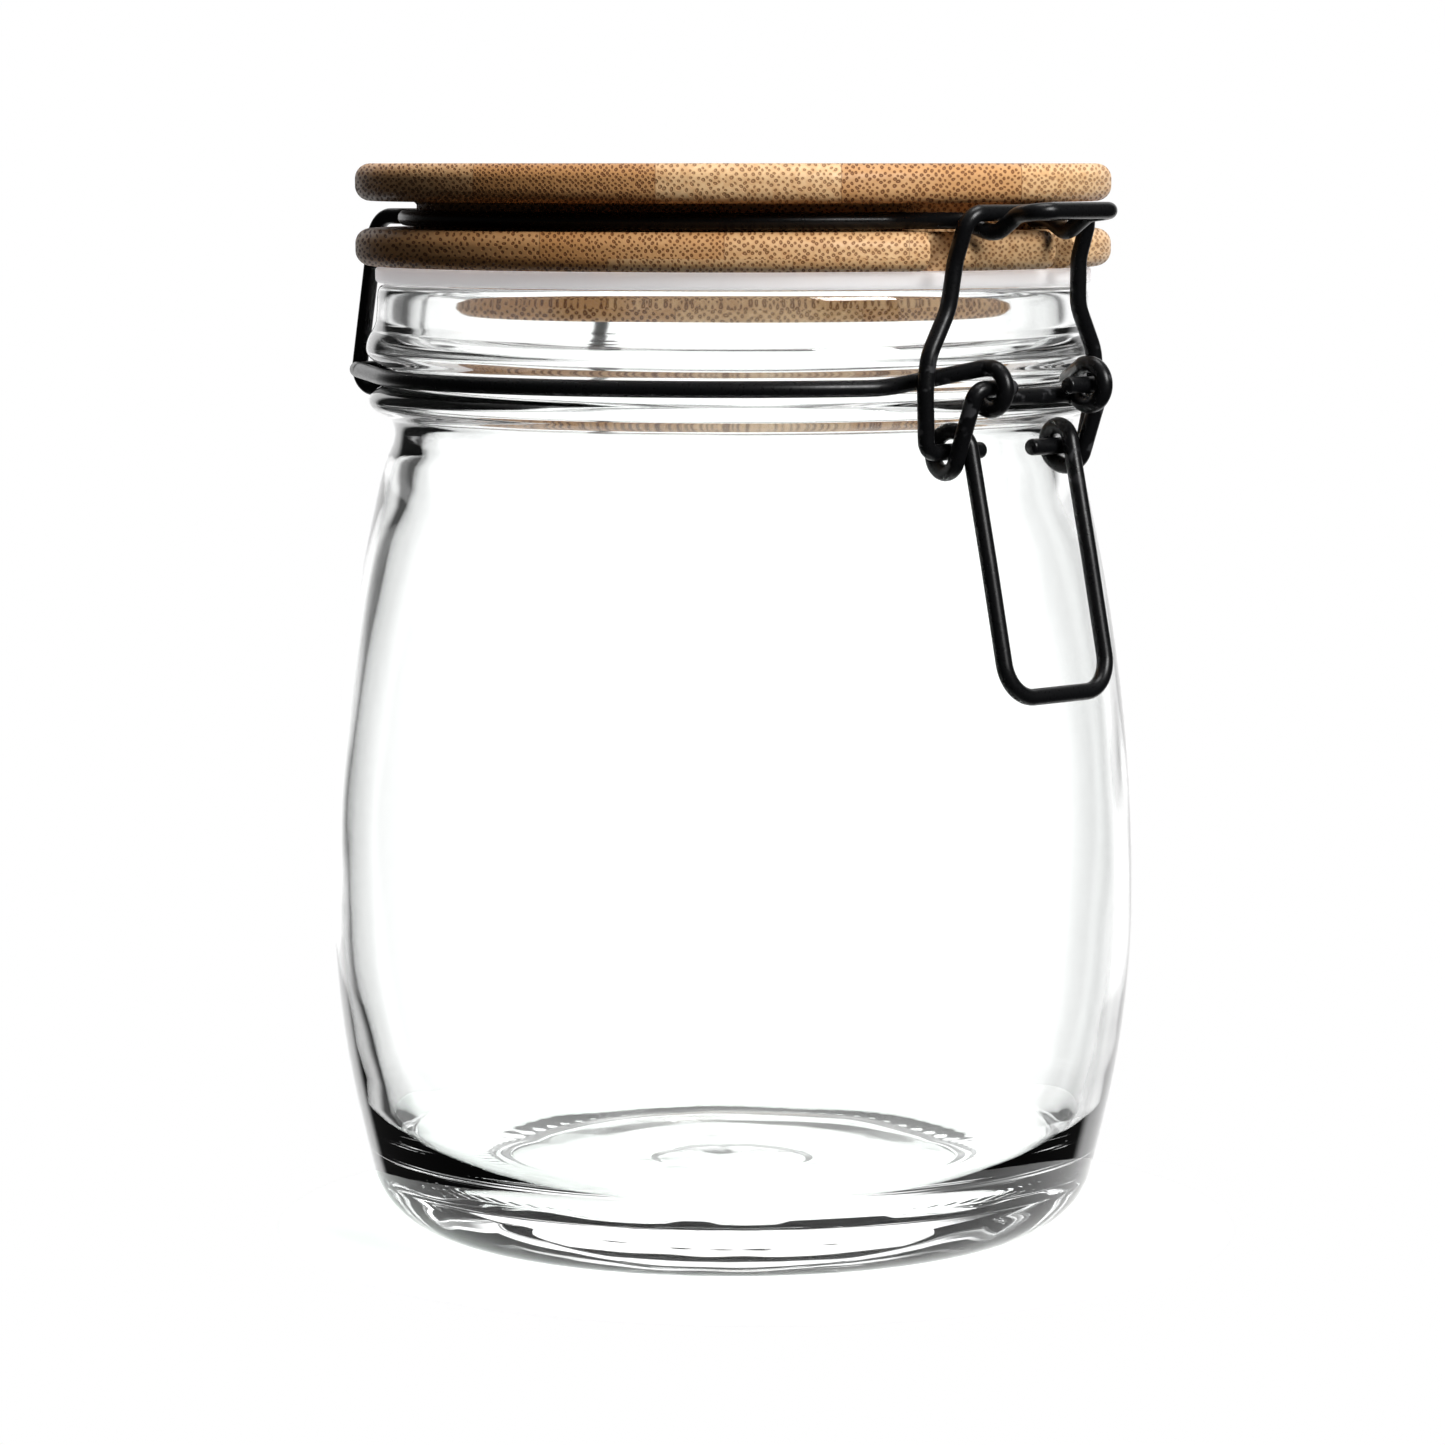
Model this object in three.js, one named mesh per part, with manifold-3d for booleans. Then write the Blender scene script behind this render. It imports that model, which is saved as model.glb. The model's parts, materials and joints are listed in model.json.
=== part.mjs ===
// A glass storage canister with a turned bamboo lid, a silicone seal and a swing latch of bent wire.
//
// Frame: millimetres, +Z up, the base on z = 0. The latch is at the front (-Y) and the lid's hinge at the
// back (+Y). Places are given around the jar's own axis as (s, rho, z): s runs along +X, rho is the
// distance from the axis toward the latch, and z is the height over the base.
import * as THREE from "three";
import { mergeVertices } from "three/addons/utils/BufferGeometryUtils.js";
import Module from "manifold-3d";

// ---- driving dimensions, mm and degrees ------------------------------------------------------------

const ROUND_SEGMENTS = 48; // facets round the jar and the lid
const SEGMENT = 360 / ROUND_SEGMENTS;

// wire stock
const WIRE_RADIUS = 1.1;
const WIRE_SIDES = 8;
const BEND_STEP = 30; // degrees of bend in each facet of a corner or a coil
const COIL_RADIUS = 2.6; // centre line of every eye and coil

// jar
const BODY_RADIUS = 53.5;
const BODY_WIDEST_Z = 44;
const FOOT_OUTER = 38.7;
const FOOT_INNER = 33.5;
const HEEL_RADIUS = 10;
const NECK_RADIUS = 45;
const MOUTH_RADIUS = 42.8;
const GROOVE_RADIUS = 45.2;
const GROOVE_Z = 113.6;
const RIM_Z = 125.7;
const WALL = 3.4;
const FLOOR_Z = 7;

// lid
const LID_RADIUS = 50;
const LID_TOP_Z = 141.5;
const PLATE = 4.9; // thickness of the upper and of the lower plate
const LID_GROOVE = 3.6;
const LID_CORE_RADIUS = 41.9;
const PLUG_RADIUS = 37.8;
const PLUG_BOTTOM_Z = 121.5;
const PLATE_EDGE = 2; // fillet on the plates' edges
const NOTCH_S = 11.2; // the two notches that the bail's legs pass
const NOTCH_WIDTH = 4.4;
const NOTCH_FLOOR = 45.5;

// seal
const SEAL_INNER = 38.3;
const SEAL_OUTER = 47.4;
const SEAL_GAP = 0.15; // to the rim below it and to the lid above it

// lid wire
const LID_RING_RADIUS = 43.3;
const NOSE_REACH = 61;
const HINGE_LEG_S = 21.4;

// neck wire
const NECK_RING_RADIUS = 47;
const HINGE_REACH = 48.3; // from the jar's axis back to the hinge bar
const HINGE_BAR_HALF = 24.2;
const EYE_S = 9.3;
const BUTT_GAP = 0.3;

// latch: P is the lever's pivot in the two eyes, B the bail's pivot in the lever's coils
const PIVOT_P = { rho: 54.6, z: GROOVE_Z };
const PIVOT_B = { rho: 48.9, z: 105.6 };
const ARM_S = 11.9;
const HANDLE_S = 9.5;
const HANDLE_END = { rho: 58.3, z: 75 };
const BAIL_TOP = { rho: 52.8, z: 135.4 };

// The origin stands under the middle of the outer box, so the jar's axis lies a little behind it.
const AXIS_Y = (NOSE_REACH + WIRE_RADIUS - BODY_RADIUS) / 2;

// ---- materials ---------------------------------------------------------------------------------

const glass = new THREE.MeshStandardMaterial({
  color: 0xe6efec, roughness: 0.04, metalness: 0, transparent: true, opacity: 0.35,
});
const bamboo = new THREE.MeshStandardMaterial({ color: 0xd3a066, roughness: 0.55, metalness: 0 });
const silicone = new THREE.MeshStandardMaterial({ color: 0xe9ebea, roughness: 0.5, metalness: 0 });
const blackWire = new THREE.MeshStandardMaterial({ color: 0x17181a, roughness: 0.38, metalness: 0.2 });

// ---- solids -------------------------------------------------------------------------------------

const wasm = await Module();
wasm.setup();

/** A closed geometry as a solid: corners merged, and the slivers that this leaves dropped. */
function solid(geometry) {
  const bare = geometry.clone();
  bare.deleteAttribute("normal");
  bare.deleteAttribute("uv");
  const merged = mergeVertices(bare, 1e-4);
  const corners = [];
  for (let i = 0; i < merged.index.count; i += 3) {
    const [a, b, c] = [0, 1, 2].map((k) => merged.index.getX(i + k));
    if (a !== b && b !== c && c !== a) corners.push(a, b, c);
  }
  const vertProperties = merged.getAttribute("position").array;
  const triVerts = new Uint32Array(corners);
  return new wasm.Manifold(new wasm.Mesh({ numProp: 3, vertProperties, triVerts }));
}

/** A named mesh with flat facets from a solid. */
function meshOf(name, body, material) {
  const { vertProperties, triVerts } = body.getMesh();
  const geometry = new THREE.BufferGeometry();
  geometry.setAttribute("position", new THREE.BufferAttribute(vertProperties, 3));
  geometry.setIndex(new THREE.BufferAttribute(triVerts, 1));
  geometry.computeVertexNormals();
  const mesh = new THREE.Mesh(geometry, material);
  mesh.name = name;
  return mesh;
}

/** A turned solid round the jar's axis, from a closed outline of [radius, z] that runs anticlockwise. */
function turned(outline) {
  const loop = [...outline, outline[0]].map(([r, z]) => new THREE.Vector2(r, z));
  const lathe = new THREE.LatheGeometry(loop, ROUND_SEGMENTS);
  return solid(lathe.rotateX(Math.PI / 2).translate(0, AXIS_Y, 0));
}

/** Points on an arc in an outline: centre, radius, and angles in degrees, ends included. */
function arc([r, z], radius, from, to, steps) {
  return Array.from({ length: steps + 1 }, (_, i) => {
    const angle = THREE.MathUtils.degToRad(from + ((to - from) * i) / steps);
    return [r + radius * Math.cos(angle), z + radius * Math.sin(angle)];
  });
}

/** The angle at which an arc of this radius stands out from its centre by dz. */
const rise = (dz, radius) => THREE.MathUtils.radToDeg(Math.asin(dz / radius));

// ---- bent wire -----------------------------------------------------------------------------------

const at = (s, rho, z) => new THREE.Vector3(s, AXIS_Y - rho, z);

/** A centre line through given points, mitred half-way at each one. */
class CentreLine extends THREE.Curve {
  constructor(points) {
    super();
    this.points = points;
  }

  getPoint(t, target = new THREE.Vector3()) {
    const along = t * (this.points.length - 1);
    const i = Math.min(Math.floor(along), this.points.length - 2);
    return target.lerpVectors(this.points[i], this.points[i + 1], along - i);
  }

  getTangent(t, target = new THREE.Vector3()) {
    const last = this.points.length - 1;
    const i = Math.round(t * last);
    const here = this.points[i];
    const arriving = here.clone().sub(this.points[Math.max(i - 1, 0)]).normalize();
    const leaving = this.points[Math.min(i + 1, last)].clone().sub(here).normalize();
    return target.addVectors(arriving, leaving).normalize();
  }

  getUtoTmapping(u) {
    return u; // one step to each point, whatever its length
  }
}

/** Points of a polyline whose corners are bent to a radius. Each corner is [point, radius]. */
function bent(corners) {
  const points = [];
  corners.forEach(([corner, radius], i) => {
    if (!radius || i === 0 || i === corners.length - 1) {
      points.push(corner);
      return;
    }
    const back = corners[i - 1][0].clone().sub(corner).normalize();
    const ahead = corners[i + 1][0].clone().sub(corner).normalize();
    const turn = Math.PI - back.angleTo(ahead);
    const setBack = radius * Math.tan(turn / 2);
    const middle = back.clone().add(ahead).normalize();
    const centre = corner.clone().addScaledVector(middle, Math.hypot(radius, setBack));
    const start = corner.clone().addScaledVector(back, setBack).sub(centre);
    const axis = back.clone().cross(ahead).normalize();
    const steps = Math.max(1, Math.round(THREE.MathUtils.radToDeg(turn) / BEND_STEP));
    for (let k = 0; k <= steps; k++) {
      points.push(start.clone().applyAxisAngle(axis, (-turn * k) / steps).add(centre));
    }
  });
  return points;
}

/** Points round a coil about an axis along X, from one angle to another, shifting from s0 to s1. */
function coil({ rho, z }, from, to, s0, s1) {
  const steps = Math.round(Math.abs(to - from) / BEND_STEP);
  return Array.from({ length: steps + 1 }, (_, i) => {
    const angle = THREE.MathUtils.degToRad(from + ((to - from) * i) / steps);
    const s = s0 + ((s1 - s0) * i) / steps;
    return at(s, rho + COIL_RADIUS * Math.cos(angle), z + COIL_RADIUS * Math.sin(angle));
  });
}

/** Points round the jar's axis at one height; angles are from the front, toward +X. */
function ring(radius, z, from, to) {
  const first = Math.ceil(from / SEGMENT + 0.2) * SEGMENT;
  const angles = [from];
  for (let a = first; a < to - 0.2 * SEGMENT; a += SEGMENT) angles.push(a);
  angles.push(to);
  return angles.map((a) => {
    const angle = THREE.MathUtils.degToRad(a);
    return at(radius * Math.sin(angle), radius * Math.cos(angle), z);
  });
}

/** The angle round a coil where a straight wire from or to a point touches it. */
function tangentAngle(point, centre, side) {
  const dRho = point.rho - centre.rho;
  const dZ = point.z - centre.z;
  const opening = Math.acos(COIL_RADIUS / Math.hypot(dRho, dZ));
  return THREE.MathUtils.radToDeg(Math.atan2(dZ, dRho) + side * opening);
}

/** Both halves of a wire from the half on the +X side, which starts on the plane of symmetry. */
function bothSides(half) {
  const mirrored = half.map((p) => new THREE.Vector3(-p.x, p.y, p.z)).reverse();
  return [...mirrored.slice(0, -1), ...half];
}

/** Round wire along a centre line. */
function wire(points) {
  const section = new THREE.Shape(
    Array.from({ length: WIRE_SIDES }, (_, i) => {
      const angle = (2 * Math.PI * (i + 0.5)) / WIRE_SIDES;
      return new THREE.Vector2(Math.cos(angle), Math.sin(angle)).multiplyScalar(WIRE_RADIUS);
    }),
  );
  const extrudePath = new CentreLine(points);
  return solid(new THREE.ExtrudeGeometry(section, { steps: points.length - 1, extrudePath }));
}

// ---- the pieces ------------------------------------------------------------------------------------

function glassJar() {
  const lowerArc = 127;
  const upperArc = 238;
  const lowerCentre = [BODY_RADIUS - lowerArc, BODY_WIDEST_Z];
  const upperCentre = [BODY_RADIUS - upperArc, BODY_WIDEST_Z];
  const heelTop = 7.6;
  const shoulderZ = 102;
  const neckZ = 104.5;
  const outside = [
    [FOOT_INNER, 0],
    ...arc([FOOT_OUTER, HEEL_RADIUS], HEEL_RADIUS, -90, -14, 4),
    ...arc(lowerCentre, lowerArc, rise(heelTop + 9 - BODY_WIDEST_Z, lowerArc), 0, 4),
    ...arc(upperCentre, upperArc, 0, rise(shoulderZ - BODY_WIDEST_Z, upperArc), 4).slice(1),
    [NECK_RADIUS, neckZ],
    [NECK_RADIUS, 107.6],
    [47.4, 108.8],
    [48.4, 110.3],
    [47.4, 111.9],
    [GROOVE_RADIUS, 113],
    [GROOVE_RADIUS, 114.2],
    [47.6, 115.4],
    [48.7, 117.3],
    [48, 119.4],
    [47.3, 120.5],
    [47.1, 124.7],
    [46.1, RIM_Z],
  ];
  const inside = [
    [43.8, RIM_Z],
    [MOUTH_RADIUS, 124.7],
    [MOUTH_RADIUS, 112],
    [NECK_RADIUS - WALL, 106],
    [NECK_RADIUS - WALL + 0.4, shoulderZ],
    ...arc(upperCentre, upperArc - WALL, rise(94 - BODY_WIDEST_Z, upperArc), 0, 3),
    ...arc(lowerCentre, lowerArc - WALL, 0, rise(20 - BODY_WIDEST_Z, lowerArc), 2).slice(1),
    [44.5, 11],
    [38, FLOOR_Z + 0.8],
    [30, FLOOR_Z],
    [0, FLOOR_Z],
  ];
  const punt = [
    [0, 2],
    [10.8, 1.8],
    [FOOT_INNER - 1.5, 1.2],
  ];
  return turned([...outside, ...inside, ...punt]);
}

/** The outline of one plate's edge, from its underside to its top, with both edges rounded. */
function plateEdge(bottom, top) {
  const r = LID_RADIUS - PLATE_EDGE;
  return [
    ...arc([r, bottom + PLATE_EDGE], PLATE_EDGE, -90, 0, 3),
    ...arc([r, top - PLATE_EDGE], PLATE_EDGE, 0, 90, 3),
  ];
}

function bambooLid() {
  const upperPlate = LID_TOP_Z - PLATE;
  const lowerTop = upperPlate - LID_GROOVE;
  const lowerPlate = lowerTop - PLATE;
  const plugFillet = 2.5;
  const body = turned([
    [0, PLUG_BOTTOM_Z],
    ...arc([PLUG_RADIUS - plugFillet, PLUG_BOTTOM_Z + plugFillet], plugFillet, -90, 0, 3),
    [PLUG_RADIUS, lowerPlate],
    ...plateEdge(lowerPlate, lowerTop),
    [LID_CORE_RADIUS, lowerTop],
    [LID_CORE_RADIUS, upperPlate],
    ...plateEdge(upperPlate, LID_TOP_Z),
    [0, LID_TOP_Z],
  ]);
  // Each notch is a round-bottomed slot through the lower plate alone.
  const notch = (s) => {
    const half = NOTCH_WIDTH / 2;
    const shape = new THREE.Shape();
    shape.absarc(0, half, half, Math.PI, 2 * Math.PI);
    shape.lineTo(half, LID_RADIUS);
    shape.lineTo(-half, LID_RADIUS);
    const slot = new THREE.ExtrudeGeometry(shape, {
      depth: PLATE + 2, bevelEnabled: false, curveSegments: 6,
    });
    return solid(slot.rotateZ(Math.PI).translate(s, AXIS_Y - NOTCH_FLOOR, lowerPlate - 1));
  };
  return body.subtract(notch(-NOTCH_S)).subtract(notch(NOTCH_S));
}

function sealRing() {
  const top = LID_TOP_Z - 2 * PLATE - LID_GROOVE - SEAL_GAP;
  const bottom = RIM_Z + SEAL_GAP;
  return turned([
    [SEAL_INNER, bottom],
    [SEAL_OUTER - 0.4, bottom],
    [SEAL_OUTER, bottom + 0.4],
    [SEAL_OUTER, top - 0.4],
    [SEAL_OUTER - 0.4, top],
    [SEAL_INNER, top],
  ]);
}

/** The ring in the lid's groove, with the nose that the bail holds down and the two hinge legs. */
function lidWire() {
  const z = 134.4;
  const legRho = -47;
  const eye = { rho: -HINGE_REACH, z: GROOVE_Z };
  const legTop = { rho: legRho, z };
  const eyeStart = tangentAngle(legTop, eye, 1);
  const leavesRing = THREE.MathUtils.radToDeg(Math.asin(13 / LID_RING_RADIUS));
  const reachesLeg = 180 - THREE.MathUtils.radToDeg(Math.asin(HINGE_LEG_S / LID_RING_RADIUS));
  const round = ring(LID_RING_RADIUS, z, leavesRing, reachesLeg);
  const nose = bent([
    [at(0, NOSE_REACH, 135.7), 0],
    [at(7.3, NOSE_REACH, 135.7), 2.2],
    [at(6.6, 56.6, 135.2), 3],
    [at(6.6, 53, 132.7), 2.5],
    [at(8.4, 48.6, 134.4), 2.5],
    [round[0], 0],
  ]);
  const eyeTurn = coil(eye, eyeStart, eyeStart + 285, HINGE_LEG_S, HINGE_LEG_S - 0.6);
  const leg = bent([
    [round.at(-1), 0],
    [at(HINGE_LEG_S, legRho, z), 3.4],
    [eyeTurn[0], 0],
  ]);
  return wire(bothSides([...nose.slice(0, -1), ...round.slice(0, -1), ...leg.slice(0, -1), ...eyeTurn]));
}

/** The ring in the neck's groove, with the latch's two eyes, their bridge, and the hinge bar. */
function neckWire() {
  const leavesRing = THREE.MathUtils.radToDeg(Math.asin(17 / NECK_RING_RADIUS));
  const cornerOut = Math.hypot(HINGE_BAR_HALF, HINGE_REACH);
  const reachesBar = 180 - THREE.MathUtils.radToDeg(
    Math.atan2(HINGE_BAR_HALF, HINGE_REACH) + Math.acos(NECK_RING_RADIUS / cornerOut),
  );
  const round = ring(NECK_RING_RADIUS, GROOVE_Z, leavesRing, reachesBar);
  const eye = coil(PIVOT_P, -158, 90, EYE_S, EYE_S);
  const bridge = bent([
    [at(0, PIVOT_P.rho - 2.9, GROOVE_Z - 1.3), 0],
    [at(EYE_S, PIVOT_P.rho - 2.9, GROOVE_Z - 1.3), 1.2],
    [eye[1], 0],
  ]);
  const bar = bent([
    [round.at(-1), 0],
    [at(HINGE_BAR_HALF, -HINGE_REACH, GROOVE_Z), 1.5],
    [at(BUTT_GAP / 2, -HINGE_REACH, GROOVE_Z), 0],
  ]);
  return wire(bothSides([...bridge.slice(0, -1), ...eye.slice(1), ...round.slice(0, -1), ...bar]));
}

/** The U-shaped handle, coiled round the bail's feet, its ends turned in through the eyes. */
function latchLever() {
  const knee = { rho: 54.7, z: 91.8 };
  const from = tangentAngle(knee, PIVOT_B, 1);
  const to = tangentAngle(PIVOT_P, PIVOT_B, -1) + 360;
  const turn = coil(PIVOT_B, from, to, HANDLE_S, ARM_S);
  const handle = bent([
    [at(0, HANDLE_END.rho, HANDLE_END.z), 0],
    [at(HANDLE_S, HANDLE_END.rho, HANDLE_END.z), 4.5],
    [at(HANDLE_S, knee.rho, knee.z), 20],
    [turn[0], 0],
  ]);
  const stub = bent([
    [turn.at(-1), 0],
    [at(ARM_S, PIVOT_P.rho, PIVOT_P.z), 1.5],
    [at(5, PIVOT_P.rho, PIVOT_P.z), 0],
  ]);
  return wire(bothSides([...handle.slice(0, -1), ...turn.slice(0, -1), ...stub]));
}

/** The bail that hooks over the lid wire's nose, its feet turned in through the lever's coils. */
function latchBail() {
  const legs = bent([
    [at(0, BAIL_TOP.rho, BAIL_TOP.z), 0],
    [at(11.4, BAIL_TOP.rho, BAIL_TOP.z), 2.4],
    [at(11.6, 50.7, 129.5), 6],
    [at(12.2, 50.1, 123.5), 6],
    [at(15.6, 49.9, 117.6), 6],
    [at(16, 49.8, 113.5), 6],
    [at(14.8, PIVOT_B.rho, PIVOT_B.z), 1.8],
    [at(4.5, PIVOT_B.rho, PIVOT_B.z), 0],
  ]);
  return wire(bothSides(legs));
}

// ---- the scene -----------------------------------------------------------------------------------

const canister = new THREE.Group();
canister.add(
  meshOf("glass_jar", glassJar(), glass),
  meshOf("neck_wire", neckWire(), blackWire),
  meshOf("bamboo_lid", bambooLid(), bamboo),
  meshOf("seal_ring", sealRing(), silicone),
  meshOf("lid_wire", lidWire(), blackWire),
  meshOf("latch_lever", latchLever(), blackWire),
  meshOf("latch_bail", latchBail(), blackWire),
);

export default canister;
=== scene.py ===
"""The looks of a swing-top glass canister: blown glass, a bamboo lid, a silicone seal and bent wire."""

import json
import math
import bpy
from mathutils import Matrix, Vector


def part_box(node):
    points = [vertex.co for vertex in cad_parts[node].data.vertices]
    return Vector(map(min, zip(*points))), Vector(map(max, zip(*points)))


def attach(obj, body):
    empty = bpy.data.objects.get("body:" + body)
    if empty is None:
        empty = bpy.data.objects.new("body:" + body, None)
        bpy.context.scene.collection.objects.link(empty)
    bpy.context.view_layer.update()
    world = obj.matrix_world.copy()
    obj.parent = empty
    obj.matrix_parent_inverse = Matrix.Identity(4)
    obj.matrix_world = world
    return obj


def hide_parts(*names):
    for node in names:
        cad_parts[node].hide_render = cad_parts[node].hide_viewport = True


bl_info = {
    "name": "Swing-top canister",
    "version": (1, 0, 0),
    "blender": (4, 5, 0),
    "location": "View3D > Sidebar > Canister",
    "description": "Builds a lidded glass canister round its packed frame",
    "category": "Add Mesh",
}

import bpy
import bmesh
from mathutils import Matrix, Vector, noise

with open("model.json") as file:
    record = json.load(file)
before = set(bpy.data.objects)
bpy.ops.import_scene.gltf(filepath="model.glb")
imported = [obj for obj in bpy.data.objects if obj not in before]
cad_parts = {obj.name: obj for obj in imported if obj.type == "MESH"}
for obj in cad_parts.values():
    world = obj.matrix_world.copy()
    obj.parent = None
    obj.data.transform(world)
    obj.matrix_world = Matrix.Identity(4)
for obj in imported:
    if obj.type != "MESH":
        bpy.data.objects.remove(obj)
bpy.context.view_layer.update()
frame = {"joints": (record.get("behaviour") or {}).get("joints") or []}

MM = 0.001

# ---- places, read from the frame -----------------------------------------------------------------

JAR_LOW, JAR_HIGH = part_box("glass_jar")
LID_LOW, LID_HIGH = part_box("bamboo_lid")
SEAL_LOW, SEAL_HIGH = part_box("seal_ring")

AXIS_Y = (JAR_LOW.y + JAR_HIGH.y) / 2
HINGES = {joint["name"]: Vector(joint["pos_m"]) for joint in frame["joints"]}


def place_of(joint):
    """A hinge's distance from the jar's axis toward the latch, and its height, in millimetres."""
    pivot = HINGES[joint]
    return (AXIS_Y - pivot.y) / MM, pivot.z / MM


EYE = place_of("lever_pivot")
COILS = place_of("bail_pivot")
BACK_BAR = place_of("lid_hinge")

# ---- sizes that the frame doesn't state, in millimetres ------------------------------------------

BODY_RADIUS = (JAR_HIGH.x - JAR_LOW.x) / 2 / MM
RIM_Z = JAR_HIGH.z / MM
WIDEST_Z = 44
LOWER_BARREL = 127
UPPER_BARREL = 238
HEEL = 10
FOOT_OUTER = 38.7
FOOT_INNER = 33.5
SHOULDER_Z = 102
GROOVE_Z = EYE[1]
WALL = 3.4
THIN_WALL = 1.9
FLOOR_Z = 7

LID_RADIUS = (LID_HIGH.x - LID_LOW.x) / 2 / MM
LID_TOP_Z = LID_HIGH.z / MM
PLUG_BOTTOM_Z = LID_LOW.z / MM
PLATE = 4.9
LID_GROOVE = 3.6
UPPER_PLATE_Z = LID_TOP_Z - PLATE
LOWER_TOP_Z = UPPER_PLATE_Z - LID_GROOVE
LOWER_PLATE_Z = LOWER_TOP_Z - PLATE
LID_CORE = 41.9
PLUG = 37.8
PLATE_EDGE = 2
NOTCH_S = 11.2
NOTCH_HALF = 2.2
NOTCH_FLOOR = 45.5

COIL = 2.6
RING_IN_LID = 43.3
RING_IN_LID_Z = 134.4
RING_ON_NECK = 47
NOSE_REACH = 61
LEG_S = 21.4
BAR_HALF = 24.2
EYE_S = 9.3
ARM_S = 11.9
HANDLE_S = 9.5
BEND_STEP = 7.5
RING_STEP = 2.5

# ---- settings a user would change ----------------------------------------------------------------


class GlassSettings(bpy.types.PropertyGroup):
    columns: bpy.props.IntProperty(
        name="Columns", description="Faces round the jar", default=320, min=48, max=512
    )
    waviness: bpy.props.FloatProperty(
        name="Waviness", description="How far the blown inner wall wanders, in metres",
        default=0.00016, min=0, max=0.001, subtype="DISTANCE", unit="LENGTH", precision=5,
    )
    tint: bpy.props.FloatVectorProperty(
        name="Tint", description="Colour of the glass", default=(0.985, 0.994, 0.99),
        min=0, max=1, subtype="COLOR",
    )


class LidSettings(bpy.types.PropertyGroup):
    pale: bpy.props.FloatVectorProperty(
        name="Pale wood", description="Lightest strips of bamboo", default=(0.71, 0.48, 0.26),
        min=0, max=1, subtype="COLOR",
    )
    # deep is the darkest strips' colour, and also the colour of the painted shade on one side of the lid
    deep: bpy.props.FloatVectorProperty(
        name="Deep wood", description="Darkest strips of bamboo", default=(0.45, 0.215, 0.075),
        min=0, max=1, subtype="COLOR",
    )
    fibre: bpy.props.FloatVectorProperty(
        name="Fibre", description="The dark bundles of fibre", default=(0.115, 0.036, 0.008),
        min=0, max=1, subtype="COLOR",
    )
    grain_turn: bpy.props.FloatProperty(
        name="Grain direction", description="How far the fibres are turned from the Y axis",
        default=math.radians(45), subtype="ANGLE", unit="ROTATION",
    )


class WireSettings(bpy.types.PropertyGroup):
    radius: bpy.props.FloatProperty(
        name="Radius", description="Radius of the coated wire", default=0.00107,
        min=0.0005, max=0.002, subtype="DISTANCE", unit="LENGTH", precision=5,
    )
    sides: bpy.props.IntProperty(
        name="Sides", description="Faces round the wire", default=20, min=6, max=48
    )
    coat: bpy.props.FloatVectorProperty(
        name="Powder coat", description="Colour of the coating", default=(0.0035, 0.0036, 0.004),
        min=0, max=1, subtype="COLOR",
    )


class StageSettings(bpy.types.PropertyGroup):
    distance: bpy.props.FloatProperty(
        name="Distance", description="From the jar's axis to the camera, measured level",
        default=0.7, min=0.2, max=5, subtype="DISTANCE", unit="LENGTH",
    )
    height: bpy.props.FloatProperty(
        name="Height", description="Camera height over the floor", default=0.142,
        min=0, max=2, subtype="DISTANCE", unit="LENGTH",
    )
    lens: bpy.props.FloatProperty(
        name="Lens", description="Focal length in millimetres", default=130.9, min=20, max=400
    )
    azimuth: bpy.props.FloatProperty(
        name="Azimuth", description="Where the camera stands; 0 looks along +Y",
        default=math.radians(-45), subtype="ANGLE", unit="ROTATION",
    )


# ---- node helpers --------------------------------------------------------------------------------


class Nodes:
    """A short way to write a node tree: add a node, set its inputs, and link outputs into them."""

    def __init__(self, tree):
        self.tree = tree

    def add(self, kind, inputs=None, **settings):
        """A new node; inputs maps its sockets to values, nodes or outputs."""
        node = self.tree.nodes.new(kind)
        for key, value in settings.items():
            setattr(node, key, value)
        for key, value in (inputs or {}).items():
            self.set(node.inputs[key], value)
        return node

    def set(self, socket, value):
        """Links a node or an output into the socket, or sets a plain value."""
        if isinstance(value, bpy.types.NodeSocket):
            self.tree.links.new(value, socket)
        elif isinstance(value, bpy.types.Node):
            self.tree.links.new(value.outputs[0], socket)
        else:
            socket.default_value = value

    def math(self, operation, a, b=0.0, c=0.0):
        """One step of arithmetic on single values."""
        return self.add("ShaderNodeMath", {0: a, 1: b, 2: c}, operation=operation)

    def mix(self, factor, a, b):
        """Two single values mixed."""
        return self.add("ShaderNodeMix", {0: factor, 2: a, 3: b}, data_type="FLOAT").outputs[0]

    def ramp(self, value, low, high, to_low=0.0, to_high=1.0):
        """value from low..high onto to_low..to_high, smoothly and held at both ends."""
        return self.add(
            "ShaderNodeMapRange",
            {"Value": value, "From Min": low, "From Max": high, "To Min": to_low, "To Max": to_high},
            interpolation_type="SMOOTHSTEP",
        )

    def blend(self, factor, a, b):
        """Two colours mixed."""
        return self.add("ShaderNodeMix", {0: factor, 6: a, 7: b}, data_type="RGBA").outputs[2]

    def stretched(self, scale, turn=0.0):
        """Object coordinates, turned about Z and scaled along the turned axes."""
        where = self.add("ShaderNodeTexCoord").outputs["Object"]
        swung = self.add(
            "ShaderNodeVectorRotate", {"Vector": where, "Angle": turn}, rotation_type="Z_AXIS"
        )
        return self.add("ShaderNodeVectorMath", {0: swung, 1: scale}, operation="MULTIPLY")

    def noise(self, scale, turn=0.0, detail=2.0):
        """Soft noise on stretched object coordinates; its first output is the value."""
        return self.add(
            "ShaderNodeTexNoise", {"Vector": self.stretched(scale, turn), "Scale": 1.0, "Detail": detail}
        )


def material(name, slot_colour):
    """A new material with a Principled shader: (material, tree helper, shader node)."""
    made = bpy.data.materials.new(name)
    made.use_nodes = True
    made.diffuse_color = (*slot_colour, 1)
    nodes = Nodes(made.node_tree)
    return made, nodes, made.node_tree.nodes["Principled BSDF"]


def rgba(colour):
    """The colour with full opacity."""
    return (*colour, 1)


# ---- materials -----------------------------------------------------------------------------------


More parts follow.
